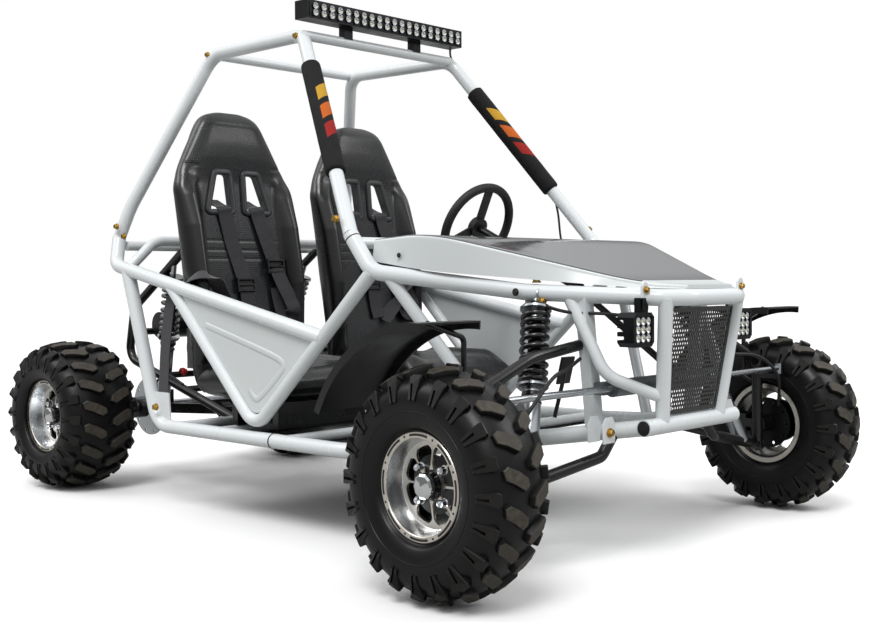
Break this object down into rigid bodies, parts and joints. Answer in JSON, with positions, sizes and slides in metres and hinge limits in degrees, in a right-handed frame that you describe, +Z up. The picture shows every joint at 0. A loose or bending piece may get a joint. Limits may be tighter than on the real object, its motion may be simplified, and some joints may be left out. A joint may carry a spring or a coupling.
{
  "type": "two-seat off-road go-kart",
  "caption": "Off-road racing kart: tube frame with roll cage, bucket seats, knobbly tyres, front double arms, live rear axle, hood, grille and roof light bar.",
  "frame": {"origin": "on the floor under the middle of the outer box", "axes": "+X forward, +Y to the driver's left, +Z up"},
  "size_m": [2.351, 1.496, 1.401],
  "materials": {
    "white_powder_coat": "glossy white powder coat",
    "pad_fabric": "black padded sleeve",
    "black_anodised": "black anodised, satin",
    "clear_lens": "clear lens over white lamps",
    "grey_gloss_plastic": "grey gloss moulding",
    "pale_panel": "pale satin sheet",
    "black_steel": "black satin powder coat",
    "black_vinyl": "black embossed vinyl",
    "webbing": "woven harness webbing",
    "cast_aluminium": "as cast",
    "black_plastic": "moulded, satin",
    "silver_steel": "turned and zinc plated",
    "black_rubber": "soft grained grip",
    "tyre_rubber": "moulded rubber",
    "machined_alloy": "machined lip, black windows"
  },
  "bodies": {
    "chassis": {"bumper_braces": "white_powder_coat", "bumper_lower_bar": "white_powder_coat", "cage_cross_bars": "white_powder_coat", "cage_sides": "white_powder_coat", "column_bracket": "white_powder_coat", "dash_bar": "white_powder_coat", "door_panels": "pale_panel", "door_vees": "white_powder_coat", "drive_chain": "silver_steel", "engine_block": "cast_aluminium", "engine_cylinder": "cast_aluminium", "engine_guard": "black_steel", "engine_mounts": "black_steel", "floor_crossmembers": "white_powder_coat", "floor_pan": "black_steel", "front_hoop": "white_powder_coat", "front_springs": "black_steel", "front_struts": "silver_steel", "front_uprights": "white_powder_coat", "grille": "black_steel", "grille_posts": "white_powder_coat", "harness_straps": "webbing", "hood": "grey_gloss_plastic", "lamp_pod_lenses": "clear_lens", "lamp_pods": "black_anodised", "leg_braces": "white_powder_coat", "light_bar": "black_anodised", "light_bar_lens": "clear_lens", "lower_arms": "black_steel", "lower_rails": "white_powder_coat", "muffler": "black_steel", "pedals": "black_steel", "pillar_pads": "pad_fabric", "rack_housing": "cast_aluminium", "rear_springs": "black_steel", "rear_struts": "silver_steel", "seat_back_bar": "white_powder_coat", "seat_backs": "black_vinyl", "seat_cushions": "black_vinyl", "seat_frames": "black_steel", "side_rails": "white_powder_coat", "swing_arm": "black_steel", "upper_arms": "black_steel"},
    "steering_wheel": {"steering_wheel": "black_rubber", "steering_column": "black_steel"},
    "steering_shaft": {"steering_shaft": "black_steel"},
    "steering_rack": {"tie_rods": "black_steel"},
    "knuckle_left": {"knuckle_left": "black_steel", "fender_left": "black_plastic"},
    "knuckle_right": {"knuckle_right": "black_steel", "fender_right": "black_plastic"},
    "wheel_front_left": {"tyre_front_left": "tyre_rubber", "rim_front_left": "machined_alloy", "hub_front_left": "silver_steel"},
    "wheel_front_right": {"tyre_front_right": "tyre_rubber", "rim_front_right": "machined_alloy", "hub_front_right": "silver_steel"},
    "rear_axle": {"rear_axle": "silver_steel", "rear_tyres": "tyre_rubber", "rear_rims": "machined_alloy"}
  },
  "joints": [
    {"name": "steer_left", "type": "hinge", "parent": "chassis", "child": "knuckle_left", "pos_m": [0.934, 0.555, 0.3], "axis": [0, 0, 1], "range_deg": [-28, 28]},
    {"name": "steer_right", "type": "hinge", "parent": "chassis", "child": "knuckle_right", "pos_m": [0.934, -0.555, 0.3], "axis": [0, 0, 1], "range_deg": [-28, 28]},
    {"name": "rack_slide", "type": "slide", "parent": "chassis", "child": "steering_rack", "axis": [0, 1, 0], "range_m": [-0.03102, 0.03102]},
    {"name": "steering_wheel_turn", "type": "hinge", "parent": "chassis", "child": "steering_wheel", "pos_m": [0.165, 0.242, 0.8], "axis": [-0.9063, 0, 0.4226], "range_deg": [-135, 135]},
    {"name": "steering_shaft_turn", "type": "hinge", "parent": "chassis", "child": "steering_shaft", "pos_m": [0.55471, 0.242, 0.61827], "axis": [-0.8604, 0.2847, 0.4227], "range_deg": [-135, 135]},
    {"name": "spin_front_left", "type": "hinge", "parent": "knuckle_left", "child": "wheel_front_left", "pos_m": [0.934, 0.6605, 0.2415], "axis": [0, 1, 0], "continuous": true},
    {"name": "spin_front_right", "type": "hinge", "parent": "knuckle_right", "child": "wheel_front_right", "pos_m": [0.934, -0.6605, 0.2415], "axis": [0, 1, 0], "continuous": true},
    {"name": "spin_rear", "type": "hinge", "parent": "chassis", "child": "rear_axle", "pos_m": [-0.947, 0, 0.2285], "axis": [0, 1, 0], "continuous": true}
  ],
  "couplings": [
    {"joint": "steer_right", "follows": "steer_left", "ratio": 1},
    {"joint": "rack_slide", "follows": "steer_left", "m_per_rad": 0.06244},
    {"joint": "steering_wheel_turn", "follows": "steer_left", "ratio": 4.8},
    {"joint": "steering_shaft_turn", "follows": "steer_left", "ratio": 4.8}
  ]
}
